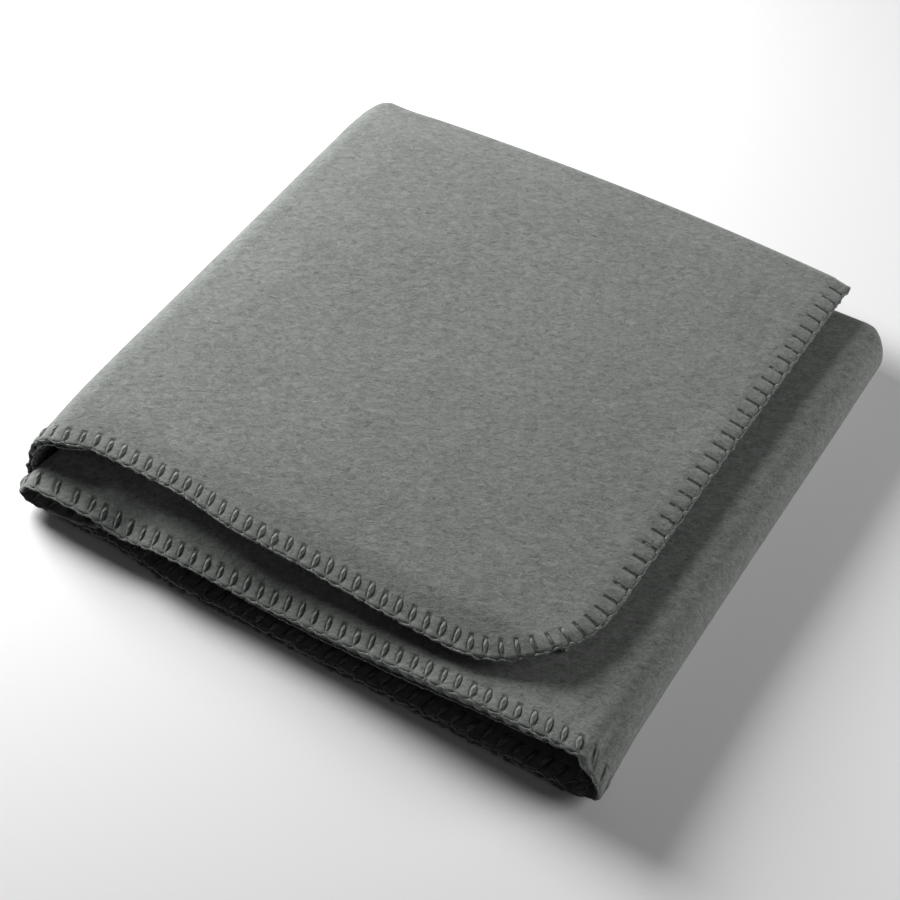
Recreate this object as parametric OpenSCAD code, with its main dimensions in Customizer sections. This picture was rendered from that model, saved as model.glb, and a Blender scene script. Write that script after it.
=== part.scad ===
// Folded throw blanket: one fleece sheet with a whip-stitched edge, folded in four along its
// length and then in thirds along its width. Millimetres, +Z up, origin at the middle of the
// underside. Each third is a strip of four plies. The left fold carries the top third over the
// other two, the right fold joins the bottom third to the middle one, and the middle third's
// free end is turned under at the left, inside the left fold.

/* [Folded size] */
// Width of the folded throw, from its left fold to its right fold
pack_w = 440; // [390:1:490]
// Length of each four-ply strip, from its front hem to its back fold
strip_len = 414; // [360:1:450]
// How far the top third lies behind the two thirds under it
top_shift = 24; // [0:1:30]
// How far the top third's side hem stops short of the right fold
hem_short = 45; // [25:1:60]
// How far the front loop inside each strip lies behind the front hems
loop_recess = 34; // [25:1:60]
// How far the middle third's free end is turned under
tuck_len = 78; // [74:1:120]
// Gap between the turned-under end and the left wall
inner_gap = 1.5; // [1:0.5:6]
// Outer radius of the two left folds
left_r = 22; // [16:0.5:26]

/* [Fleece] */
// Thickness of one ply
ply_t = 2.4; // [1.8:0.1:2.5]
// Distance from one ply to the next, through the stack
ply_pitch = 3.6; // [3.5:0.1:4]
// Radius of the sheet's four corners
corner_r = 72; // [20:1:76]

/* [Whip stitch] */
// Spacing of the stitches along the front hems
front_pitch = 10.3; // [8:0.1:14]
// Spacing of the stitches along the side hems
side_pitch = 12; // [8:0.1:14]
// How far each stitch reaches in from the edge
stitch_depth = 12; // [6:0.5:16]
// Thickness of the yarn, seen from above
yarn_w = 2.2; // [1.2:0.1:3]
// How far the yarn stands out of the fleece's face
yarn_proud = 0.45; // [0.2:0.05:0.5]
// How far the yarn stands out past the sheet's edge
yarn_edge = 1.8; // [1:0.1:2.5]

/* [Colours] */
// Fleece, outer faces
fleece_colour = "#868a85"; // ["#868a85", "#9aa09a", "#6f746f"]
// Fleece, plies inside the strips
inner_colour = "#7b7f7a"; // ["#7b7f7a", "#8e938d", "#656a65"]
// Stitching yarn
yarn_colour = "#9a9e98"; // ["#9a9e98", "#b4b8b2", "#7f847f"]

/* [Hidden] */
$fn = 48;

// Plies are numbered from the outer face of a strip: 0 and 1 end in the two front hems, and
// 2 and 3 are joined at the front by the loop. 0 and 3 meet in the back fold, 1 and 2 inside it.
strip_t = 3 * ply_pitch + ply_t;
// Four strips lie on each other at the left: bottom third, turned-under end, middle third, top
tuck_z = 4 * ply_pitch;
mid_top = 11 * ply_pitch + ply_t;
total_h = 15 * ply_pitch + ply_t;
// Outer radii of the folds from the middle third to the bottom one and to its own end
right_r = mid_top / 2;
tuck_r = (mid_top - tuck_z) / 2;
wall_h = total_h - 2 * left_r;
// Half rings inside a strip, where ply 1 meets ply 2 and ply 2 meets ply 3
loop_out_r = (ply_pitch + ply_t) / 2;
loop_in_r = (ply_pitch - ply_t) / 2;
back_y = strip_len - strip_t / 2;
loop_y = loop_recess + loop_out_r;
pack_d = strip_len + top_shift + yarn_edge;
front_y = yarn_edge - pack_d / 2;
left_x = -pack_w / 2;
right_x = pack_w / 2;
tuck_x = left_x + strip_t + inner_gap + tuck_r;
top_len = pack_w - hem_short - left_r;
bottom_len = pack_w - left_r - right_r;
middle_len = right_x - right_r - tuck_x;

// ---- one strip, in its own frame: x along the strip to its side hem, y from the front hems
// ---- to the back fold, z from the strip's outer face inwards

function ply_front(k) = k < 2 ? 0 : loop_y;
function ply_z(k) = k * ply_pitch;

// A ply's outline in (x, y), with the sheet's round corner where it has one
module ply_outline(k, len, cornered) {
    cut = cornered && k < 2 ? corner_r : 0;
    difference() {
        translate([0, ply_front(k)])
            square([len, back_y - ply_front(k)]);
        if (cut > 0)
            translate([len - cut, 0])
                difference() {
                    translate([0, -1])
                        square([cut + 1, cut + 1]);
                    translate([0, cut])
                        circle(r = cut);
                }
    }
}

module ply(k, len, cornered = false) {
    translate([0, 0, ply_z(k)])
        linear_extrude(height = ply_t)
            ply_outline(k, len, cornered);
}

// Profiles in (y, z), the strip's section
module half_ring(y, z, outer, inner, to_back) {
    translate([y, z])
        intersection() {
            difference() {
                circle(r = outer);
                circle(r = inner);
            }
            translate([to_back ? 0 : -2 * outer, -2 * outer])
                square([2 * outer, 4 * outer]);
        }
}

module back_section() {
    half_ring(back_y, strip_t / 2, strip_t / 2, strip_t / 2 - ply_t, true);
}

module inner_section() {
    half_ring(back_y, strip_t / 2, loop_out_r, loop_in_r, true);
}

module loop_section() {
    half_ring(loop_y, ply_z(2.5) + ply_t / 2, loop_out_r, loop_in_r, false);
}

module ply_section(k) {
    translate([ply_front(k), ply_z(k)])
        square([back_y - ply_front(k), ply_t]);
}

module strip_section() {
    for (k = [0:3])
        ply_section(k);
    back_section();
    inner_section();
    loop_section();
}

// A section drawn out along x
module along(len) {
    rotate([90, 0, 90])
        linear_extrude(height = len)
            children();
}

// A section turned about a side fold's centre line, with the strip's outer face outwards at
// radius r. Angle 0 faces +x, 90 faces the floor and 180 faces -x.
module around(r, start, angle) {
    rotate([-90, 0, 0])
        rotate([0, 0, start])
            rotate_extrude(angle = angle)
                translate([r, 0])
                    rotate([0, 0, 90])
                        children();
}

// ---- whip stitches: a comb of yarn over a hem, from the front hem round the corner

corner_len = corner_r * PI / 2;
function corner_angle(s, len, r) = (s - len + r) / r * 180 / PI;
function on_front(s, len, r) = s <= len - r;
function on_corner(s, len, r) = s < len - r + r * PI / 2;
// A point on the hem, a distance s along it from the fold
function hem_point(s, len, r) =
    on_front(s, len, r) ? [s, 0] :
    on_corner(s, len, r) ? [len - r + r * sin(corner_angle(s, len, r)),
                            r - r * cos(corner_angle(s, len, r))] :
    [len, s - len + 2 * r - r * PI / 2];
// The direction from that point into the fleece, and the one along the hem
function hem_inward(s, len, r) =
    on_front(s, len, r) ? [0, 1] :
    on_corner(s, len, r) ? [-sin(corner_angle(s, len, r)), cos(corner_angle(s, len, r))] :
    [-1, 0];
function hem_along(s, len, r) = [hem_inward(s, len, r)[1], -hem_inward(s, len, r)[0]];

function marks(from, to, pitch) =
    [for (i = [0 : floor((to - from) / pitch) - 1]) from + (i + 0.5) * pitch];
function tooth(s, len, r) =
    let (p = hem_point(s, len, r), n = hem_inward(s, len, r), t = hem_along(s, len, r))
    [p + t * yarn_w / 2, p + t * yarn_w / 2 + n * stitch_depth,
     p - t * yarn_w / 2 + n * stitch_depth, p - t * yarn_w / 2];
function comb(stitches, from, to, len, r) = concat(
    [for (s = concat([from], stitches, [to]))
        hem_point(s, len, r) - hem_inward(s, len, r) * yarn_edge],
    [hem_point(to, len, r)],
    [for (i = [count(stitches) - 1 : -1 : 0]) each tooth(stitches[i], len, r)],
    [hem_point(from, len, r)]
);
function count(v) = len(v);

// The yarn on ply k, between two distances along its hem. outer is how far it stands out of the
// strip's outer side.
module whip(k, len, r, from, to, outer = yarn_proud) {
    turn = len - r + r * PI / 2;
    front = from < turn ? marks(from, min(to, turn), front_pitch) : [];
    side = to > turn ? marks(max(from, turn), to, side_pitch) : [];
    difference() {
        translate([0, 0, ply_z(k) - outer])
            linear_extrude(height = outer + ply_t + yarn_proud)
                polygon(comb(concat(front, side), from, to, len, r));
        ply(k, len, r > 0);
    }
}

// Plies 1 and 2 have a front hem, a round corner and a side hem
module whip_cornered(k, len) {
    whip(k, len, corner_r, 0, len - 2 * corner_r + corner_len + back_y);
}

// Plies 3 and 4 have only the side hem
module whip_side(k, len) {
    whip(k, len, 0, len + loop_y, len + back_y);
}

// Single stitches over the front hem of a side fold of radius r, spaced evenly either side of
// the angle mid
module whip_around(k, r, mid, each_side) {
    step = front_pitch / (r - ply_z(k)) * 180 / PI;
    thick = yarn_w / (r - ply_z(k)) * 180 / PI;
    for (i = [-each_side : each_side])
        around(r, mid + i * step - thick / 2, thick)
            yarn_section(k, stitch_depth);
}

module yarn_section(k, depth) {
    difference() {
        translate([-yarn_edge, ply_z(k) - yarn_proud])
            square([yarn_edge + depth, ply_t + 2 * yarn_proud]);
        ply_section(k);
    }
}

// ---- where each strip lies

module in_top() {
    translate([left_x + left_r, front_y + top_shift, total_h])
        mirror([0, 0, 1])
            children();
}

module in_middle() {
    translate([right_x - right_r, front_y, mid_top])
        rotate([0, 180, 0])
            children();
}

module in_bottom() {
    translate([left_x + left_r, front_y, 0])
        children();
}

module in_tuck() {
    translate([tuck_x, front_y, tuck_z])
        children();
}

module in_left_wall() {
    translate([left_x, front_y + top_shift / 2, left_r])
        mirror([1, 0, 0])
            rotate([0, -90, 0])
                children();
}

module in_right_fold() {
    translate([right_x - right_r, front_y, right_r])
        children();
}

module in_tuck_fold() {
    translate([tuck_x, front_y, tuck_z + tuck_r])
        children();
}

// ---- top third

module top_ply_1() {
    color(fleece_colour)
        in_top()
            ply(0, top_len, true);
}

module top_ply_2() {
    color(inner_colour)
        in_top()
            ply(1, top_len, true);
}

module top_ply_3() {
    color(inner_colour)
        in_top()
            ply(2, top_len);
}

module top_ply_4() {
    color(inner_colour)
        in_top()
            ply(3, top_len);
}

module top_back_fold() {
    color(fleece_colour)
        in_top()
            along(top_len)
                back_section();
}

module top_inner_fold() {
    color(inner_colour)
        in_top()
            along(top_len)
                inner_section();
}

module top_front_loop() {
    color(inner_colour)
        in_top()
            along(top_len)
                loop_section();
}

// ---- middle third

module middle_ply_1() {
    color(fleece_colour)
        in_middle()
            ply(0, middle_len);
}

module middle_ply_2() {
    color(inner_colour)
        in_middle()
            ply(1, middle_len);
}

module middle_ply_3() {
    color(inner_colour)
        in_middle()
            ply(2, middle_len);
}

module middle_ply_4() {
    color(inner_colour)
        in_middle()
            ply(3, middle_len);
}

module middle_back_fold() {
    color(fleece_colour)
        in_middle()
            along(middle_len)
                back_section();
}

module middle_inner_fold() {
    color(inner_colour)
        in_middle()
            along(middle_len)
                inner_section();
}

module middle_front_loop() {
    color(inner_colour)
        in_middle()
            along(middle_len)
                loop_section();
}

// ---- bottom third

module bottom_ply_1() {
    color(fleece_colour)
        in_bottom()
            ply(0, bottom_len);
}

module bottom_ply_2() {
    color(inner_colour)
        in_bottom()
            ply(1, bottom_len);
}

module bottom_ply_3() {
    color(inner_colour)
        in_bottom()
            ply(2, bottom_len);
}

module bottom_ply_4() {
    color(inner_colour)
        in_bottom()
            ply(3, bottom_len);
}

module bottom_back_fold() {
    color(fleece_colour)
        in_bottom()
            along(bottom_len)
                back_section();
}

module bottom_inner_fold() {
    color(inner_colour)
        in_bottom()
            along(bottom_len)
                inner_section();
}

module bottom_front_loop() {
    color(inner_colour)
        in_bottom()
            along(bottom_len)
                loop_section();
}

// ---- the middle third's turned-under end

module tuck_ply_1() {
    color(fleece_colour)
        in_tuck()
            ply(0, tuck_len, true);
}

module tuck_ply_2() {
    color(inner_colour)
        in_tuck()
            ply(1, tuck_len, true);
}

module tuck_ply_3() {
    color(inner_colour)
        in_tuck()
            ply(2, tuck_len);
}

module tuck_ply_4() {
    color(inner_colour)
        in_tuck()
            ply(3, tuck_len);
}

module tuck_back_fold() {
    color(fleece_colour)
        in_tuck()
            along(tuck_len)
                back_section();
}

module tuck_inner_fold() {
    color(inner_colour)
        in_tuck()
            along(tuck_len)
                inner_section();
}

module tuck_front_loop() {
    color(inner_colour)
        in_tuck()
            along(tuck_len)
                loop_section();
}

// ---- folds of the whole strip

module tuck_fold() {
    color(fleece_colour)
        in_tuck_fold()
            around(tuck_r, 90, 180)
                strip_section();
}

module left_wall() {
    color(fleece_colour)
        in_left_wall()
            along(wall_h)
                strip_section();
}

module left_fold_lower() {
    color(fleece_colour)
        translate([left_x + left_r, front_y, left_r])
            around(left_r, 90, 90)
                strip_section();
}

module left_fold_upper() {
    color(fleece_colour)
        translate([left_x + left_r, front_y + top_shift, total_h - left_r])
            around(left_r, 180, 90)
                strip_section();
}

// ---- right fold, a half turn, open inside

module right_fold_ply_1() {
    color(fleece_colour)
        in_right_fold()
            around(right_r, -90, 180)
                ply_section(0);
}

module right_fold_ply_2() {
    color(inner_colour)
        in_right_fold()
            around(right_r, -90, 180)
                ply_section(1);
}

module right_fold_ply_3() {
    color(inner_colour)
        in_right_fold()
            around(right_r, -90, 180)
                ply_section(2);
}

module right_fold_ply_4() {
    color(inner_colour)
        in_right_fold()
            around(right_r, -90, 180)
                ply_section(3);
}

module right_fold_back_fold() {
    color(fleece_colour)
        in_right_fold()
            around(right_r, -90, 180)
                back_section();
}

module right_fold_inner_fold() {
    color(inner_colour)
        in_right_fold()
            around(right_r, -90, 180)
                inner_section();
}

module right_fold_front_loop() {
    color(inner_colour)
        in_right_fold()
            around(right_r, -90, 180)
                loop_section();
}

// ---- stitching yarn

module top_stitches_1() {
    color(yarn_colour)
        in_top()
            whip_cornered(0, top_len);
}

module top_stitches_2() {
    color(yarn_colour)
        in_top()
            whip_cornered(1, top_len);
}

module top_stitches_3() {
    color(yarn_colour)
        in_top()
            whip_side(2, top_len);
}

module top_stitches_4() {
    color(yarn_colour)
        in_top()
            whip_side(3, top_len);
}

module tuck_stitches_1() {
    color(yarn_colour)
        in_tuck()
            whip_cornered(0, tuck_len);
}

module tuck_stitches_2() {
    color(yarn_colour)
        in_tuck()
            whip_cornered(1, tuck_len);
}

module tuck_stitches_3() {
    color(yarn_colour)
        in_tuck()
            whip_side(2, tuck_len);
}

module tuck_stitches_4() {
    color(yarn_colour)
        in_tuck()
            whip_side(3, tuck_len);
}

module middle_stitches_1() {
    color(yarn_colour)
        in_middle()
            whip(0, middle_len, 0, 0, middle_len);
}

module middle_stitches_2() {
    color(yarn_colour)
        in_middle()
            whip(1, middle_len, 0, 0, middle_len);
}

// The outermost ply lies on the floor, so its yarn is sunk level with its outer face
module bottom_stitches_1() {
    color(yarn_colour)
        in_bottom()
            whip(0, bottom_len, 0, 0, bottom_len, 0);
}

module bottom_stitches_2() {
    color(yarn_colour)
        in_bottom()
            whip(1, bottom_len, 0, 0, bottom_len);
}

module tuck_fold_stitches() {
    color(yarn_colour)
        in_tuck_fold() {
            whip_around(0, tuck_r, 180, 1);
            whip_around(1, tuck_r, 180, 0);
        }
}

module left_wall_stitches() {
    color(yarn_colour)
        in_left_wall()
            for (k = [0:1])
                whip(k, wall_h, 0, 0, wall_h);
}

// These stop short of the floor, where the yarn is sunk in the fleece
module right_fold_stitches_1() {
    color(yarn_colour)
        in_right_fold()
            whip_around(0, right_r, 0, 2);
}

module right_fold_stitches_2() {
    color(yarn_colour)
        in_right_fold()
            whip_around(1, right_r, 0, 2);
}

top_ply_1();
top_ply_2();
top_ply_3();
top_ply_4();
top_back_fold();
top_inner_fold();
top_front_loop();
middle_ply_1();
middle_ply_2();
middle_ply_3();
middle_ply_4();
middle_back_fold();
middle_inner_fold();
middle_front_loop();
bottom_ply_1();
bottom_ply_2();
bottom_ply_3();
bottom_ply_4();
bottom_back_fold();
bottom_inner_fold();
bottom_front_loop();
tuck_ply_1();
tuck_ply_2();
tuck_ply_3();
tuck_ply_4();
tuck_back_fold();
tuck_inner_fold();
tuck_front_loop();
tuck_fold();
left_wall();
left_fold_lower();
left_fold_upper();
right_fold_ply_1();
right_fold_ply_2();
right_fold_ply_3();
right_fold_ply_4();
right_fold_back_fold();
right_fold_inner_fold();
right_fold_front_loop();
top_stitches_1();
top_stitches_2();
top_stitches_3();
top_stitches_4();
middle_stitches_1();
middle_stitches_2();
bottom_stitches_1();
bottom_stitches_2();
tuck_stitches_1();
tuck_stitches_2();
tuck_stitches_3();
tuck_stitches_4();
tuck_fold_stitches();
left_wall_stitches();
right_fold_stitches_1();
right_fold_stitches_2();
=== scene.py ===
"""The looks of the folded throw blanket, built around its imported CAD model.

The throw is one flat fleece sheet with a whip-stitched edge. A flat point (u, v) is placed in
two steps, as a hand would fold it: v goes through the strip's section, which folds the sheet in
four along its length, and u goes along the strip's path, which folds the strip in thirds. The
ideal stack that this gives is then settled: its front lips sag, its folds puff and its hems curl.
The sheet is made as three pieces, cut under the right fold and down the left wall, so that none
bends at more than one joint.
"""
import math

import bpy
import numpy as np
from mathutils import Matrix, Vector


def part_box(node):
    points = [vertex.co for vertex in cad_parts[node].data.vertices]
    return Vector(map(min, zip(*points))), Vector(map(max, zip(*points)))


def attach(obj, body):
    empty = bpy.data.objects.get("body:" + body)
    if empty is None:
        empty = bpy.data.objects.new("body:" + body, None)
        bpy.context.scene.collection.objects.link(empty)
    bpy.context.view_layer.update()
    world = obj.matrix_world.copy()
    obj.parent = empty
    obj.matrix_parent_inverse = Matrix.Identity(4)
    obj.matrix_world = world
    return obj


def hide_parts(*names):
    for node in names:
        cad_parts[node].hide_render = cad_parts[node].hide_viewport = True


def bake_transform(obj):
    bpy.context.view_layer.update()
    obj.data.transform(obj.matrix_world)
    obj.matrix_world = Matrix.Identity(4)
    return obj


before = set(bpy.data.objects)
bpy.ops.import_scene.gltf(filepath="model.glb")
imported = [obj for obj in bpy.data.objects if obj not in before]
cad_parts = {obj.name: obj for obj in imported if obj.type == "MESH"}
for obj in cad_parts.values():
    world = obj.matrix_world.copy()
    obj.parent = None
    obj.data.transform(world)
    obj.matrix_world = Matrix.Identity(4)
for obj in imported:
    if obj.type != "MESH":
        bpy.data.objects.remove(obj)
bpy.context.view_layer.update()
MM = 0.001


# ---- sizes, read from the frame ------------------------------------------------------------

def low(node):
    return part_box(node)[0]


def high(node):
    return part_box(node)[1]


def extent(node):
    return high(node) - low(node)


PLY = extent("top_ply_1").z
PITCH = low("top_ply_1").z - low("top_ply_2").z
STACK = high("top_ply_1").z
LOWER_STACK = high("middle_ply_1").z
FRONT = low("middle_ply_1").y
STRIP = high("middle_back_fold").y - FRONT
TOP_SHIFT = low("top_ply_1").y - FRONT
LOOP_Y = low("middle_ply_3").y - FRONT
LEFT = low("left_wall").x
RIGHT = high("right_fold_ply_1").x
LEFT_R = low("top_ply_1").x - LEFT
RIGHT_R = LOWER_STACK / 2
TUCK_X = low("tuck_ply_1").x
TUCK_Z = low("tuck_ply_1").z
TUCK_R = (LOWER_STACK - TUCK_Z) / 2
BACK_R = 1.5 * PITCH
SMALL_R = 0.5 * PITCH
BACK_Y = STRIP - BACK_R - PLY / 2

# sizes that the frame doesn't hold
FLEECE = 2.9 * MM
CORNER_R = 72 * MM
FRONT_PITCH = 10.3 * MM
SIDE_PITCH = 12 * MM
STITCH_DEPTH = 12 * MM
STITCH_LEAN = -0.25
YARN_R = 1.4 * MM


# ---- paths -----------------------------------------------------------------------------------

class Path:
    """A smooth plane path of straight and circular stretches. steps are (length, curvature),
    and a positive curvature turns left."""

    def __init__(self, start, heading, steps):
        self.steps = np.array(steps, float)
        self.marks = np.concatenate([[0.0], np.cumsum(self.steps[:, 0])])
        points, headings = [np.array(start, float)], [heading]
        for length, curvature in steps:
            a, b, _, _ = self.stretch(length, curvature, *points[-1], headings[-1])
            points.append(np.array([a, b]))
            headings.append(headings[-1] + length * curvature)
        self.points, self.headings = np.array(points), np.array(headings)

    @staticmethod
    def stretch(s, curvature, a, b, heading):
        turn = np.asarray(curvature) * s
        half = turn / 2
        chord = s * np.sinc(half / math.pi)
        return (a + chord * np.cos(heading + half), b + chord * np.sin(heading + half),
                np.cos(heading + turn), np.sin(heading + turn))

    def at(self, s):
        """The point and the direction at distance s, as four arrays."""
        i = np.clip(np.searchsorted(self.marks, s, side="right") - 1, 0, len(self.steps) - 1)
        return self.stretch(s - self.marks[i], self.steps[i, 1], self.points[i, 0],
                            self.points[i, 1], self.headings[i])


ALONG = Path((TUCK_X + extent("tuck_ply_1").x, TUCK_Z), math.pi, [
    (extent("tuck_ply_1").x, 0),
    (math.pi * TUCK_R, -1 / TUCK_R),
    (extent("middle_ply_1").x, 0),
    (math.pi * RIGHT_R, -1 / RIGHT_R),
    (extent("bottom_ply_1").x, 0),
    (math.pi / 2 * LEFT_R, -1 / LEFT_R),
    (extent("left_wall").z, 0),
    (math.pi / 2 * LEFT_R, -1 / LEFT_R),
    (extent("top_ply_1").x, 0),
])
_, U_TUCK_FOLD, U_MIDDLE, U_RIGHT, U_BOTTOM, U_LOWER, U_WALL, U_UPPER, U_TOP, U_END = ALONG.marks
U_SEAM = (U_WALL + U_UPPER) / 2

ACROSS = Path((0, PLY / 2), 0, [
    (BACK_Y, 0),
    (math.pi * BACK_R, 1 / BACK_R),
    (BACK_Y - LOOP_Y, 0),
    (math.pi * SMALL_R, 1 / SMALL_R),
    (BACK_Y - LOOP_Y, 0),
    (math.pi * SMALL_R, -1 / SMALL_R),
    (BACK_Y, 0),
])
V_BACK, V_PLY_4, V_LOOP, V_PLY_3, V_INNER, V_PLY_2, V_END = ACROSS.marks[1:]


# ---- small curves ----------------------------------------------------------------------------

def ramp(start, end, t):
    """0 before start, 1 after end, smooth between them."""
    k = np.clip((t - start) / (end - start), 0, 1)
    return k * k * (3 - 2 * k)


def hump(middle, width, t):
    """1 at the middle, falling smoothly to 0 about two widths either side."""
    return np.exp(-((t - middle) / width) ** 2)


# ---- the hem: distance and stitch count of any flat point ---------------------------------------

def hem(u, v):
    """How far a flat point is from the sheet's edge, how many stitches along the edge, and how
    much of the way round a corner: 0 on a front hem and 1 on a side hem. The count follows the
    stitches' lean, so a stitch lies where it is a whole number."""
    across, from_end = np.minimum(v, V_END - v), np.minimum(u, U_END - u)
    a, b = CORNER_R - across, CORNER_R - from_end
    cornered = (a > 0) & (b > 0)
    on_side = cornered | (across > from_end)
    distance = np.where(cornered, CORNER_R - np.hypot(a, b), np.minimum(across, from_end))
    turn = np.where(cornered, np.arctan2(np.maximum(b, 0), np.maximum(a, 1e-9)),
                    np.where(on_side, math.pi / 2, 0))
    side = turn / (math.pi / 2)
    past = CORNER_R * turn / FRONT_PITCH + np.maximum(across - CORNER_R, 0) / SIDE_PITCH
    round_corner = np.where(u > U_END / 2, (U_END - CORNER_R) / FRONT_PITCH + past,
                            CORNER_R / FRONT_PITCH - past)
    count = np.where(on_side, round_corner, u / FRONT_PITCH)
    return distance, count - lean_at(side) * distance / FRONT_PITCH, side


def lean_at(side):
    """How far a stitch leans along the hem, per millimetre of its depth."""
    return STITCH_LEAN * (1 - side)


def reach_at(side):
    """How deep a stitch goes into the sheet."""
    return STITCH_DEPTH * (1 - 0.18 * side)


def rounded(u, v):
    """Moves a flat grid's points so that its square corners become the sheet's round ones."""
    across, from_end = np.minimum(v, V_END - v), np.minimum(u, U_END - u)
    a = np.clip((CORNER_R - across) / CORNER_R, 0, 1)
    b = np.clip((CORNER_R - from_end) / CORNER_R, 0, 1)
    both = (a > 0) & (b > 0)
    down = np.where(both, CORNER_R * a * (1 - np.sqrt(1 - b * b / 2)), 0)
    inward = np.where(both, CORNER_R * b * (1 - np.sqrt(1 - a * a / 2)), 0)
    return (u + np.where(u < U_END / 2, inward, -inward),
            v + np.where(v < V_END / 2, down, -down))


# ---- the settled shape -----------------------------------------------------------------------

def slide(u):
    """How far back the strip lies: the top third is laid a little behind the lower two."""
    return TOP_SHIFT * ramp(U_LOWER - 15 * MM, U_TOP, u)


def front_height(x):
    """The height of the lower two thirds at their front hems, where only half the plies reach:
    low at the left, with a dip beside the turned-under tip, and full at the right fold."""
    return (27 * MM + 15 * MM * ramp(-40 * MM, 170 * MM, x) - 5.5 * MM * hump(-130 * MM, 18 * MM, x)
            - 10 * MM * (1 - ramp(LEFT, -190 * MM, x)))


def inner_gap(x):
    """How far the middle third's inner hem hangs below its outer one: most near the right fold,
    and a little beside the turned-under tip."""
    return (16 * MM * ramp(-110 * MM, 120 * MM, x) - 7 * MM * ramp(150 * MM, RIGHT, x)
            + 6 * MM * hump(-152 * MM, 15 * MM, x))


def slumped(x, z):
    """The height of a point at the front hems of the lower two thirds."""
    top, gap = front_height(x), inner_gap(x)
    zero = np.zeros_like(x)
    levels = [0, PITCH + PLY, TUCK_Z, TUCK_Z + PITCH + PLY,
              LOWER_STACK - PITCH - PLY, LOWER_STACK - PITCH, LOWER_STACK - PLY, LOWER_STACK]
    heights = [zero, zero + 5.6 * MM, zero + 6.0 * MM, zero + 10.6 * MM,
               top - 5.8 * MM - gap, top - 3.4 * MM - gap, top - 2.4 * MM, top]
    out = heights[-1] + (z - levels[-1])
    for i in range(len(levels) - 1):
        share = (z - levels[i]) / (levels[i + 1] - levels[i])
        inside = (z < levels[i + 1]) & (z >= levels[i]) if i else z < levels[1]
        out = np.where(inside, heights[i] + share * (heights[i + 1] - heights[i]), out)
    return out


def settle(x, y, z, u, v, w):
    """Turns the ideal stack into a soft one. The steps are meant to keep the plies in order."""
    lower = 1 - ramp(U_LOWER, U_WALL, u)
    middle = 1 - ramp(U_BOTTOM - 5 * MM, U_BOTTOM + 5 * MM, u)
    top = ramp(U_UPPER, U_TOP + 30 * MM, u)
    from_front = y - FRONT
    from_lip = y - FRONT - TOP_SHIFT

    # the lower two thirds slump at their front hems
    slump = (1 - ramp(0, 49 * MM, from_front)) * lower
    z = z + (slumped(x, z) - z) * slump

    # the turned-under end's fold pokes out at the front left, with a round tip
    tip = hump(8 * MM, 22 * MM, from_front)
    x = x - 15 * MM * tip * (1 - ramp(TUCK_X - 5 * MM, TUCK_X + 30 * MM, x)) * middle

    # the inner hems lie a little further in than the outer ones
    inner_hem = 1 - ramp(0, 34 * MM, V_END - v)
    recess = 3 + 6 * (1 - ramp(-175 * MM, -150 * MM, x)) + 6 * ramp(-70 * MM, RIGHT, x)
    y = y + recess * MM * inner_hem * middle
    y = y + inner_hem * top * 8 * MM * ramp(-195 * MM, -155 * MM, x)

    # the bottom third's hems wander on the floor
    bottom = ramp(U_RIGHT, U_BOTTOM, u) * lower
    wander = 3.5 - 6 * ramp(-145 * MM, -85 * MM, x) + ramp(0, 100 * MM, x)
    y = y + wander * MM * bottom * (1 - ramp(0, 80 * MM, from_front))

    # the top third's front lip droops and waves
    lip = (1 - ramp(0, 31 * MM, from_lip)) * top
    droop = 3 + 4 * ramp(-110 * MM, 150 * MM, x) + 2 * (1 - ramp(LEFT, -190 * MM, x))
    z = z - droop * MM * lip
    wave = (6.5 - 12.5 * (1 - ramp(LEFT, -170 * MM, x)) - 6 * ramp(-110 * MM, -50 * MM, x)
            - 3 * ramp(-20 * MM, 80 * MM, x))
    y = y + wave * MM * top * (1 - ramp(0, 110 * MM, from_lip))

    # its side hem curls over the plies under it, and slants out towards the back
    curl = (1 - ramp(0, 18 * MM, U_END - u)) * (1 - ramp(PLY, 15 * MM, w)) * top
    z = z - 2.4 * MM * curl
    skew = 8 * MM * np.clip(from_lip / STRIP, 0, 1) ** 1.4
    x = x + skew * top * ramp(60 * MM, 182 * MM, x)

    # the top third's back edge bows out, and the lower thirds' right one goes back a little
    bow = ((x + 8 * MM) / (185 * MM)) ** 2
    y = y - 7 * MM * bow * ramp(150 * MM, STRIP, from_lip) * top
    y = y + 1 * MM * bow * ramp(0, 180 * MM, x) * ramp(150 * MM, STRIP, from_front) * lower

    # corners where two folds meet are round in plan
    x, y = soften_corner(x, y, LEFT, FRONT + STRIP + slide(u), 1, 21 * MM)
    x, y = soften_corner(x, y, RIGHT, FRONT + STRIP, -1, 13 * MM * lower + 1 * MM)

    # the right fold swells towards the back
    x = x + 3.5 * MM * lower * ramp(120 * MM, 215 * MM, x) * ramp(80 * MM, STRIP, from_front)

    # shoulders, a slack top and a slow swell
    share = z / STACK
    x = x - share * 2.5 * MM * (1 - ramp(0, 40 * MM, x - LEFT)) * ramp(0, 60 * MM, from_lip)
    z = z - share * 3 * MM * (1 - ramp(0, 65 * MM, x - LEFT))
    z = z - share * 3.5 * MM * ramp(STRIP - 45 * MM, STRIP, from_front - slide(u))
    swell = np.sin(x * 21 + 0.6) * np.cos(y * 17 + 1.1) + 0.6 * np.sin(x * 9 - y * 26)
    z = z + share * 0.7 * MM * swell

    return x, y, off_floor(z)


def off_floor(z):
    """The floor flattens what would sink into it."""
    return np.where(z < MM, MM * np.exp(np.minimum(z / MM, 1) - 1), z)


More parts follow.
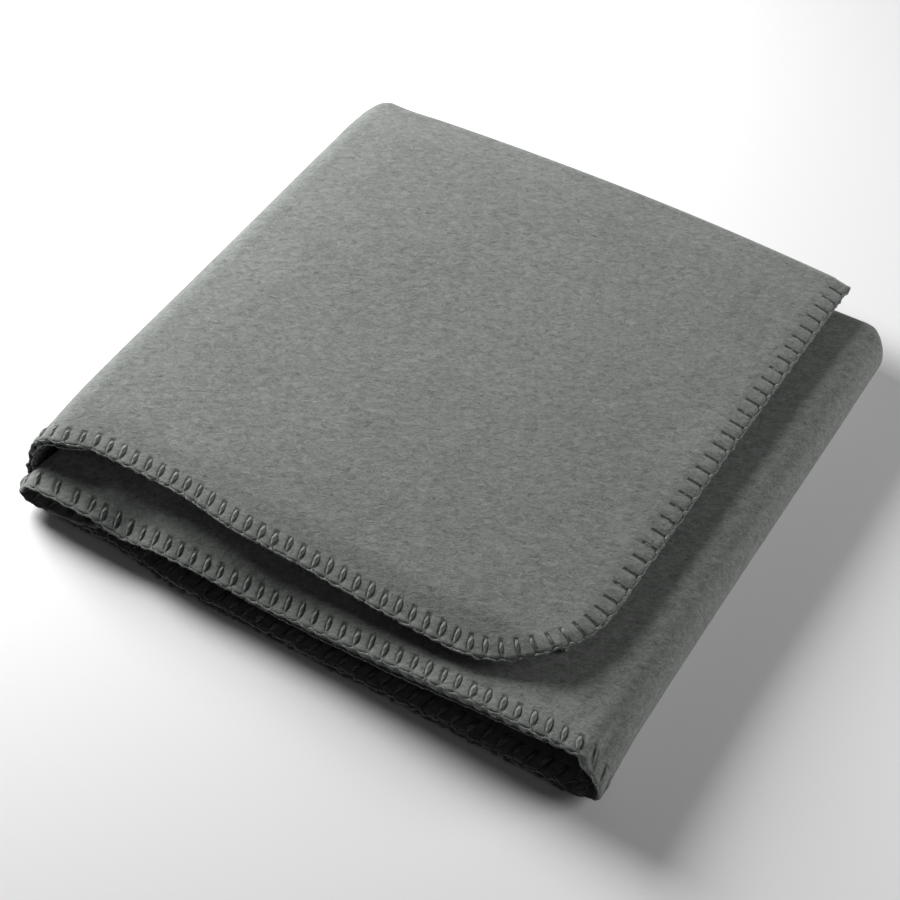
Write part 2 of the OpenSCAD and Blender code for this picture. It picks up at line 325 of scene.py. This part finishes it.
def soften_corner(x, y, edge, back, side, radius):
    """Rounds the plan corner at (edge, back). side is 1 where the cloth lies at larger x."""
    a = np.clip(1 - (x - edge) * side / radius, 0, 1)
    b = np.clip(1 - (back - y) / radius, 0, 1)
    both = (a > 0) & (b > 0)
    x = x + np.where(both, side * radius * a * (1 - np.sqrt(1 - b * b / 2)), 0)
    y = y - np.where(both, radius * b * (1 - np.sqrt(1 - a * a / 2)), 0)
    return x, y


def place(u, v, lift):
    """Where a flat point goes when the throw is folded. lift is its height over the sheet's
    mid-surface, on the side that faces out of the folded strip."""
    y, w, along_y, along_w = ACROSS.at(v)
    y, w = y + lift * along_w, w - lift * along_y
    # the three inner plies end a little short of the outer one
    short = ramp(PLY * 0.8, PLY * 1.8, w) * ramp(U_END - 70 * MM, U_END - 10 * MM, u)
    x, z, along_x, along_z = ALONG.at(u - 14 * MM * short)
    x, z = x + w * along_z, z - w * along_x
    x, y, z = settle(x, y + FRONT + slide(u), z, u, v, w)
    return np.stack([x, y, z], axis=-1)


# ---- meshes ----------------------------------------------------------------------------------

def new_object(name, points, faces, material):
    mesh = bpy.data.meshes.new(name)
    mesh.from_pydata(points.tolist(), [], faces.tolist())
    mesh.polygons.foreach_set("use_smooth", [True] * len(mesh.polygons))
    mesh.materials.append(material)
    mesh.update()
    obj = bpy.data.objects.new(name, mesh)
    bpy.context.scene.collection.objects.link(obj)
    return obj


def attribute(obj, name, values):
    obj.data.attributes.new(name, "FLOAT", "POINT").data.foreach_set(
        "value", np.ascontiguousarray(values, dtype=np.float32))


EDGE_STEPS = np.array([0, 0.12, 0.45, 1.0, 1.8, 2.9, 4.2, 5.8, 7.6, 9.6, 11.8]) * MM


def spaced(start, end, step, fine_start=False, fine_end=False):
    """Distances from start to end about step apart, closer at a hem."""
    first = start + EDGE_STEPS if fine_start else np.array([start])
    last = end - EDGE_STEPS[::-1] if fine_end else np.array([end])
    n = max(2, int(round((last[0] - first[-1]) / step)) + 1)
    return np.concatenate([first[:-1], np.linspace(first[-1], last[0], n), last[1:]])


def in_step(start, end, step, fine_end=False):
    """Distances from start to end at whole multiples of step, closer at a hem."""
    last = end - EDGE_STEPS[::-1] if fine_end else np.array([end])
    whole = np.arange(math.ceil(start / step + 0.3), math.floor(last[0] / step - 0.3) + 1) * step
    return np.concatenate([[start], whole, last])


def joined(*runs):
    return np.concatenate([runs[0]] + [r[1:] for r in runs[1:]])


def sheet_mesh(name, us, vs, material):
    """The stretch of the sheet over the grid us by vs, as a closed mesh with its real thickness,
    rounded along its hems and cut square across a seam."""
    u, v = rounded(*np.meshgrid(us, vs, indexing="ij"))
    distance, count, side = hem(u, v)
    distance = np.maximum(distance, 0)
    edge = np.sqrt(1 - (1 - np.clip(distance / (FLEECE * 0.55), 0, 1)) ** 2)
    # the fleece is drawn in under each stitch, and puffs and bulges between them
    reach = reach_at(side)
    under_yarn = hump(0, 0.17, count - np.round(count))
    under_yarn *= 1 - ramp(reach - 1 * MM, reach + 2 * MM, distance)
    band = hump(6 * MM, 6 * MM, distance) * (1 + 0.9 * side)
    half = FLEECE / 2 * edge * (1 + 0.28 * band - (0.38 + 0.14 * side) * under_yarn)
    bulge = 0.35 * MM * (1 - 2 * under_yarn) * hump(0, 5 * MM, distance)
    du, dv = outward(u, v)
    u, v = u + du * bulge, v + dv * bulge

    shape = u.shape
    upper = np.arange(u.size).reshape(shape)
    on_hem = edge < 1e-3
    own = np.cumsum(~on_hem.ravel()).reshape(shape) - 1 + u.size
    under = np.where(on_hem, upper, own)
    points = np.concatenate([place(u, v, half).reshape(-1, 3),
                             place(u, v, -half)[~on_hem]])

    def quads(grid):
        return np.stack([grid[:-1, :-1], grid[1:, :-1], grid[1:, 1:], grid[:-1, 1:]],
                        axis=-1).reshape(-1, 4)

    faces = [quads(upper), quads(under)[:, ::-1]]
    cloth_faces = 2 * len(faces[0])
    for row, flip in ((0, 1), (-1, -1)):
        if not on_hem[row].any() or not on_hem[row].all():
            cap = np.stack([upper[row, :-1], upper[row, 1:], under[row, 1:], under[row, :-1]],
                           axis=-1)
            cap = cap[~(on_hem[row, :-1] & on_hem[row, 1:])]
            faces.append(cap[:, ::flip])
    faces = np.concatenate(faces)
    if signed_volume(points, faces) < 0:
        faces = faces[:, ::-1]
    faces = [list(dict.fromkeys(f)) for f in faces.tolist()]
    obj = new_object(name, points, np.array(faces, dtype=object), material)
    # the cut faces at a seam are flat, so that the shading runs on across it
    obj.data.polygons.foreach_set("use_smooth", np.arange(len(faces)) < cloth_faces)
    for label, values in (("share", distance / reach), ("count", count), ("side", side)):
        attribute(obj, "hem_" + label, np.concatenate([values.ravel(), values[~on_hem]]))
    return obj


def outward(u, v):
    """The flat direction from a point to the nearest hem."""
    a = np.where(v < V_END / 2, CORNER_R - v, v - V_END + CORNER_R)
    b = np.where(u < U_END / 2, CORNER_R - u, u - U_END + CORNER_R)
    dv = np.where(v < V_END / 2, -1, 1) * np.clip(a, 0, None)
    du = np.where(u < U_END / 2, -1, 1) * np.clip(b, 0, None)
    size = np.maximum(np.hypot(du, dv), 1e-9)
    return du / size, dv / size


def signed_volume(points, faces):
    a, b, c, d = (points[faces[:, i]] for i in range(4))
    return float(np.einsum("ij,ij->", a, np.cross(b, c)) + np.einsum("ij,ij->", a, np.cross(c, d)))


def tubes(lines, ups, radii):
    """Round closed tubes along lines, an array of (tube, point, 3), as points and faces."""
    sides = 6
    count, long, _ = lines.shape
    ahead = np.gradient(lines, axis=1)
    ahead /= np.linalg.norm(ahead, axis=2, keepdims=True)
    out = np.cross(ahead, ups)
    out /= np.linalg.norm(out, axis=2, keepdims=True)
    up = np.cross(out, ahead)
    angles = np.arange(sides) * 2 * math.pi / sides
    ring = (out[:, :, None] * np.cos(angles)[:, None] + up[:, :, None] * np.sin(angles)[:, None])
    points = lines[:, :, None] + ring * np.broadcast_to(radii, (count, long))[:, :, None, None]
    ids = np.arange(count * long * sides).reshape(count, long, sides)
    turned = np.roll(ids, -1, axis=2)
    walls = np.stack([ids[:, :-1], turned[:, :-1], turned[:, 1:], ids[:, 1:]], axis=-1)
    faces = walls.reshape(-1, 4).tolist()
    faces += ids[:, 0, ::-1].tolist() + ids[:, -1].tolist()
    along = np.broadcast_to(np.arange(long)[None, :, None], ids.shape)
    around = np.broadcast_to(np.arange(sides)[None, None, :], ids.shape)
    return points.reshape(-1, 3), faces, along.ravel(), around.ravel()


def hem_line(kind, s):
    """Flat points at distance s along a hem, and the flat direction into the cloth. The outer
    and inner hems run from the turned-under end to the top third's corner, and on round it."""
    turn = np.clip((s - (U_END - CORNER_R)) / CORNER_R, 0, math.pi / 2)
    side = np.maximum(s - (U_END - CORNER_R) - CORNER_R * math.pi / 2, 0)
    u = np.minimum(s, U_END - CORNER_R) + CORNER_R * np.sin(turn)
    v = CORNER_R - CORNER_R * np.cos(turn) + side
    inward_u, inward_v = -np.sin(turn), np.cos(turn)
    if kind == "inner":
        v, inward_v = V_END - v, -inward_v
    return u, v, inward_u, inward_v


def stitch_marks(start, end):
    """Distances along a hem where a stitch lies, between start and end."""
    turn_end = U_END - CORNER_R + CORNER_R * math.pi / 2
    counts = np.arange(math.ceil(start / FRONT_PITCH), 400)
    front = counts * FRONT_PITCH
    first_side = turn_end / FRONT_PITCH
    side = turn_end + (counts - first_side) * SIDE_PITCH
    marks = np.where(front <= turn_end, front, side)
    return marks[(marks > start) & (marks < end)]


# One leg of a whip stitch, from the hem to where it goes into the fleece: its share of the
# stitch's depth, its lift over the sheet's mid-surface in millimetres, and its share of YARN_R.
LEG_DEPTH = np.array([-0.07, 0.04, 0.15, 0.28, 0.42, 0.58, 0.74, 0.88, 0.97, 1.03])
LEG_LIFT = np.array([0.0, 0.15, 0.4, 0.85, 1.25, 1.42, 1.4, 1.15, 0.7, 0.0])
LEG_RADIUS = np.array([0.5, 0.5, 0.56, 0.82, 1.08, 1.16, 1.08, 0.85, 0.55, 0.3])


def yarn_mesh(name, runs, material, seed, rough=1.0):
    """The whip stitches along the given hem runs: (hem, start, end, faces that show yarn).
    rough scales how much the hand that sewed them strayed."""
    points, faces, along, around = [], [], [], []
    chance = np.random.default_rng(seed)

    def add(lines, ups, radii):
        p, f, a, b = tubes(lines, ups, radii)
        base = sum(len(x) for x in points)
        points.append(p)
        faces.extend([[i + base for i in face] for face in f])
        along.append(a)
        around.append(b)

    def put(kind, s, depth, lift):
        u, v, iu, iv = hem_line(kind, s)
        u, v = u + iu * depth, v + iv * depth
        centre = place(u, v, lift)
        up = place(u, v, lift + 0.5 * MM) - place(u, v, lift - 0.5 * MM)
        return centre, up

    def turned(s):
        return np.clip((s - U_END + CORNER_R) / CORNER_R / (math.pi / 2), 0, 1)

    for kind, start, end, sides in runs:
        marks = stitch_marks(start, end)[:, None]
        on_side = turned(marks)
        for side in sides:
            uneven = rough * chance.uniform(-1, 1, (4, len(marks), 1))
            depth = LEG_DEPTH * reach_at(on_side) * (1 + 0.13 * uneven[0])
            s = marks + lean_at(on_side) * depth + 0.5 * MM * uneven[1]
            s = s + 0.8 * MM * uneven[2] * np.linspace(0, 1, len(LEG_DEPTH))
            lift = side * (LEG_LIFT - 0.75 * on_side) * MM * np.ones_like(s)
            radii = YARN_R * LEG_RADIUS * (1 - 0.42 * on_side + 0.2 * uneven[3])
            add(*put(kind, s, depth, lift), radii)
        # the purl along the very edge, one loop to a stitch
        n = max(8, int((end - start) / (1.3 * MM)))
        s = np.linspace(start, end, n)[None]
        count = hem(*hem_line(kind, s)[:2])[1]
        knots = np.arange(start, end + 3 * MM, 2.6 * MM)
        uneven = [rough * np.interp(s, knots, chance.uniform(-1, 1, len(knots)))
                  for _ in range(3)]
        depth = MM * (0.2 * np.cos(2 * math.pi * count) + 0.45 * uneven[0] - 0.55)
        lift = MM * (0.25 * np.sin(2 * math.pi * count + 0.7) + 0.5 * uneven[1])
        radii = 0.42 + 0.1 * rough + 0.1 * np.cos(4 * math.pi * count) + 0.14 * uneven[2]
        add(*put(kind, s, depth, lift), YARN_R * radii * (1 + 0.4 * turned(s)))

    points = np.concatenate(points)
    points[:, 2] = off_floor(points[:, 2])
    obj = new_object(name, points, np.array(faces, dtype=object), material)
    attribute(obj, "yarn_along", np.concatenate(along))
    attribute(obj, "yarn_around", np.concatenate(around))
    return obj


# ---- materials -------------------------------------------------------------------------------

def material(name):
    m = bpy.data.materials.new(name)
    m.use_nodes = True
    shader = m.node_tree.nodes["Principled BSDF"]

    def node(kind, inputs=None, **settings):
        n = m.node_tree.nodes.new(kind)
        for key, value in settings.items():
            setattr(n, key, value)
        for key, value in (inputs or {}).items():
            socket = n.inputs[key]
            if isinstance(value, bpy.types.NodeSocket):
                m.node_tree.links.new(value, socket)
            else:
                socket.default_value = value
        return n

    def math_node(operation, a, b=0.0, clamp=False):
        return node("ShaderNodeMath", {0: a, 1: b}, operation=operation, use_clamp=clamp).outputs[0]

    def link(source, socket):
        m.node_tree.links.new(source, shader.inputs[socket])

    return m, shader, node, math_node, link


def fleece_material():
    m, shader, node, calc, link = material("brushed_fleece")
    place_at = node("ShaderNodeTexCoord").outputs["Object"]

    def noise(scale, detail, roughness, distortion=0.0, vector=place_at):
        return node("ShaderNodeTexNoise", {"Vector": vector, "Scale": scale, "Detail": detail,
                                           "Roughness": roughness,
                                           "Distortion": distortion}).outputs[0]

    def between(value, start, end, at_start, at_end):
        return node("ShaderNodeMapRange", {0: value, 1: start, 2: end, 3: at_start, 4: at_end},
                    interpolation_type="SMOOTHSTEP").outputs[0]

    # clumped pile, single fibres, short dark gaps in the pile and slow changes of tone
    lying = node("ShaderNodeMapping", {"Vector": place_at, "Rotation": (0, 0, 0.45),
                                       "Scale": (1.7, 0.95, 1.1)}, vector_type="TEXTURE").outputs[0]
    clumps = noise(300.0, 4.0, 0.72, 0.9, lying)
    fibres = noise(1300.0, 3.0, 0.7, 0.8, lying)
    gaps = between(noise(520.0, 2.0, 0.5, 1.0, lying), 0.57, 0.74, 0.0, 1.0)
    tone = noise(11.0, 3.0, 0.6)
    mottle = calc("ADD", calc("MULTIPLY", clumps, 0.6), calc("MULTIPLY", fibres, 0.4))
    mottle = calc("SUBTRACT", mottle, calc("MULTIPLY", gaps, 0.10))
    colour = node("ShaderNodeValToRGB", {"Fac": mottle})
    ramp_ = colour.color_ramp
    ramp_.elements[0].position, ramp_.elements[0].color = 0.28, (0.060, 0.064, 0.060, 1)
    ramp_.elements[1].position, ramp_.elements[1].color = 0.66, (0.262, 0.277, 0.262, 1)

    # painted shade: the fleece's colour is darkened where a whip stitch presses into it, standing
    # in for the shadow in the dent under each stitch; the same mask also dents the bump
    share, count, side = (node("ShaderNodeAttribute", attribute_name="hem_" + label).outputs["Fac"]
                          for label in ("share", "count", "side"))
    offset = calc("ABSOLUTE", calc("SUBTRACT", calc("FRACT", calc("ADD", count, 0.5)), 0.5))
    beside = between(offset, calc("SUBTRACT", 0.11, calc("MULTIPLY", side, 0.06)),
                     calc("SUBTRACT", 0.27, calc("MULTIPLY", side, 0.13)), 1.0, 0.0)
    near_hem = calc("ADD", 0.25, calc("MULTIPLY", side, 0.75))
    within = calc("MULTIPLY", between(share, 0.98, 1.12, 1.0, 0.0),
                  between(share, 0.1, 0.35, near_hem, 1.0))
    groove_dent_and_painted_shade = calc("MULTIPLY", beside, within)
    depth = calc("ADD", 0.55, calc("MULTIPLY", side, 0.17))
    # painted shade: the stitch-dent mask darkens the base colour here
    value = calc("MULTIPLY", calc("ADD", calc("MULTIPLY", tone, 0.34), 0.83),
                 calc("SUBTRACT", 1.0, calc("MULTIPLY", groove_dent_and_painted_shade, depth)))
    link(node("ShaderNodeHueSaturation", {"Color": colour.outputs[0], "Value": value}).outputs[0],
         "Base Color")

    height = calc("SUBTRACT", mottle, calc("MULTIPLY", groove_dent_and_painted_shade, 0.5))
    bump = node("ShaderNodeBump", {"Height": height, "Strength": 0.8, "Distance": 0.9 * MM})
    link(bump.outputs[0], "Normal")
    link(calc("ADD", calc("MULTIPLY", fibres, 0.2), 0.78), "Roughness")
    shader.inputs["Specular IOR Level"].default_value = 0.1
    shader.inputs["Sheen Weight"].default_value = 0.35
    shader.inputs["Sheen Roughness"].default_value = 0.5
    shader.inputs["Sheen Tint"].default_value = (0.64, 0.66, 0.64, 1)
    return m


def yarn_material():
    m, shader, node, calc, link = material("stitching_yarn")
    place_at = node("ShaderNodeTexCoord").outputs["Object"]
    along = node("ShaderNodeAttribute", attribute_name="yarn_along").outputs["Fac"]
    around = node("ShaderNodeAttribute", attribute_name="yarn_around").outputs["Fac"]
    twist = calc("SINE", calc("ADD", calc("MULTIPLY", along, 2.6),
                              calc("MULTIPLY", around, 2 * math.pi / 3)))
    fuzz = node("ShaderNodeTexNoise", {"Vector": place_at, "Scale": 1500.0,
                                       "Detail": 2.0}).outputs[0]
    tone = node("ShaderNodeTexNoise", {"Vector": place_at, "Scale": 120.0}).outputs[0]
    look = calc("ADD", calc("ADD", calc("MULTIPLY", twist, 0.09), calc("MULTIPLY", fuzz, 0.6)),
                calc("MULTIPLY", tone, 0.4))
    colour = node("ShaderNodeValToRGB", {"Fac": look})
    ramp_ = colour.color_ramp
    ramp_.elements[0].position, ramp_.elements[0].color = 0.25, (0.085, 0.090, 0.086, 1)
    ramp_.elements[1].position, ramp_.elements[1].color = 0.80, (0.28, 0.296, 0.283, 1)
    link(colour.outputs[0], "Base Color")
    height = calc("ADD", calc("MULTIPLY", twist, 0.5), fuzz)
    bump = node("ShaderNodeBump", {"Height": height, "Strength": 0.6, "Distance": 0.4 * MM})
    link(bump.outputs[0], "Normal")
    link(calc("ADD", calc("MULTIPLY", fuzz, 0.25), 0.6), "Roughness")
    shader.inputs["Specular IOR Level"].default_value = 0.1
    shader.inputs["Sheen Weight"].default_value = 0.25
    shader.inputs["Sheen Roughness"].default_value = 0.45
    return m


FLEECE_LOOK = fleece_material()
YARN_LOOK = yarn_material()


# ---- the three stretches of the sheet ----------------------------------------------------------

def section_rows(first, second, hidden):
    """Rows across the section: the outer ply at spacing first, the inner hemmed one at second."""
    return joined(
        spaced(0, V_BACK, first, fine_start=True),
        spaced(V_BACK, V_PLY_4, 2.2 * MM),
        spaced(V_PLY_4, V_LOOP, hidden),
        spaced(V_LOOP, V_PLY_3, 1.2 * MM),
        spaced(V_PLY_3, V_INNER, hidden),
        spaced(V_INNER, V_PLY_2, 1.2 * MM),
        spaced(V_PLY_2, V_END - 40 * MM, hidden),
        spaced(V_END - 40 * MM, V_END, second, fine_end=True))


FINE = FRONT_PITCH / 6
middle_sheet = sheet_mesh("middle_sheet", joined(
    spaced(0, U_TUCK_FOLD, 4 * MM, fine_start=True),
    spaced(U_TUCK_FOLD, U_MIDDLE, 2 * MM),
    in_step(U_MIDDLE, U_RIGHT, FINE),
    in_step(U_RIGHT, U_BOTTOM, FINE)), section_rows(3.4 * MM, 3.4 * MM, 14 * MM), FLEECE_LOOK)
bottom_sheet = sheet_mesh("bottom_sheet", joined(
    in_step(U_BOTTOM, U_LOWER, FINE),
    spaced(U_LOWER, U_WALL, 2 * MM),
    spaced(U_WALL, U_SEAM, 2 * MM)), section_rows(8 * MM, 3.4 * MM, 16 * MM), FLEECE_LOOK)
top_sheet = sheet_mesh("top_sheet", joined(
    spaced(U_SEAM, U_UPPER, 2 * MM),
    spaced(U_UPPER, U_TOP, 2 * MM),
    in_step(U_TOP, U_END, FINE, fine_end=True)), section_rows(2 * MM, 3 * MM, 12 * MM), FLEECE_LOOK)

BOTH, INNER_ONLY = (1, -1), (-1,)
CORNER_END = U_END - CORNER_R + CORNER_R * math.pi / 2
SIDE_END = CORNER_END + V_END - 2 * CORNER_R
middle_yarn = yarn_mesh("middle_yarn", [
    ("outer", CORNER_R, U_BOTTOM, BOTH), ("inner", CORNER_R, U_BOTTOM, BOTH)], YARN_LOOK, 1)
bottom_yarn = yarn_mesh("bottom_yarn", [
    ("outer", U_BOTTOM, U_SEAM, INNER_ONLY), ("inner", U_BOTTOM, U_SEAM, BOTH)],
    YARN_LOOK, 2, rough=2.2)
top_yarn = yarn_mesh("top_yarn", [
    ("outer", U_SEAM, SIDE_END, BOTH), ("inner", U_SEAM, CORNER_END, BOTH)], YARN_LOOK, 3)


# ---- bodies and replaced nodes -----------------------------------------------------------------

def nodes_named(*starts):
    return sorted(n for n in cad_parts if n.startswith(starts))


def split(names):
    return ([n for n in names if "stitches" not in n], [n for n in names if "stitches" in n])


def across_fold(node, upwards):
    """The start and end of the bend over a left fold, on the diagonal of its quarter turn."""
    lowest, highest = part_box(node)
    middle = Vector((lowest.x + highest.x, 0, lowest.z + highest.z)) / 2
    step = Vector((8 * MM, 0, 8 * MM)) if upwards else Vector((-8 * MM, 0, 8 * MM))
    return middle - step, middle + step


lower_bend = across_fold("left_fold_lower", False)
upper_bend = across_fold("left_fold_upper", True)
PIECES = [
    (middle_sheet, middle_yarn, nodes_named("middle", "right_fold", "tuck"), None),
    (bottom_sheet, bottom_yarn, nodes_named("bottom", "left_fold_lower"),
     ("lower_stack", "left_wall", lower_bend)),
    (top_sheet, top_yarn, nodes_named("top", "left_wall", "left_fold_upper"),
     ("left_wall", "top_third", upper_bend)),
]
for sheet, yarn, names, bend in PIECES:
    for piece, slot, replaced in zip((sheet, yarn), ("fleece", "stitching_yarn"), split(names)):
        if bend:
            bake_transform(piece)
        else:
            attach(piece, "lower_stack")
        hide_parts(*replaced)


# ---- stage, light and camera -------------------------------------------------------------------

def make_stage():
    """A plain pale floor."""
    mesh = bpy.data.meshes.new("floor")
    reach = 4.0
    mesh.from_pydata([(-reach, -reach, 0), (reach, -reach, 0), (reach, reach, 0),
                      (-reach, reach, 0)], [], [(0, 1, 2, 3)])
    floor = bpy.data.objects.new("floor", mesh)
    bpy.context.scene.collection.objects.link(floor)
    m, shader, _, _, _ = material("floor")
    shader.inputs["Base Color"].default_value = (0.9, 0.9, 0.9, 1)
    shader.inputs["Roughness"].default_value = 0.9
    mesh.materials.append(m)


def area_light(name, position, size, power):
    data = bpy.data.lights.new(name, "AREA")
    data.shape = "DISK"
    data.size = size
    data.energy = power
    light = bpy.data.objects.new(name, data)
    light.location = position
    aim = Vector((0, 0, 0)) - light.location
    light.rotation_euler = aim.to_track_quat("-Z", "Y").to_euler()
    bpy.context.scene.collection.objects.link(light)


def make_lights():
    """Soft light from the left, a weaker one from the right, and a dim even surround."""
    area_light("key", (-1.12, 0.24, 0.62), 0.65, 34)
    area_light("fill", (1.3, 0.5, 0.5), 0.9, 11)
    world = bpy.data.worlds.new("studio")
    world.use_nodes = True
    world.node_tree.nodes["Background"].inputs[0].default_value = (1, 1, 1, 1)
    world.node_tree.nodes["Background"].inputs[1].default_value = 0.045
    bpy.context.scene.world = world
    bpy.context.scene.view_settings.view_transform = "Standard"


def make_camera():
    """The photograph's view, from the front right and above."""
    azimuth, elevation = math.radians(31.57), math.radians(49.15)
    back = Vector((math.sin(azimuth) * math.cos(elevation),
                   -math.cos(azimuth) * math.cos(elevation), math.sin(elevation)))
    data = bpy.data.cameras.new("camera")
    data.lens = 74.8
    data.sensor_width = 36
    data.clip_start = 0.05
    camera = bpy.data.objects.new("camera", data)
    target, distance = Vector((0.00045, -0.029, 0)), 1.279
    camera.location = target + back * distance
    camera.rotation_euler = back.to_track_quat("Z", "Y").to_euler()
    bpy.context.scene.collection.objects.link(camera)
    bpy.context.scene.camera = camera


make_stage()
make_lights()
make_camera()
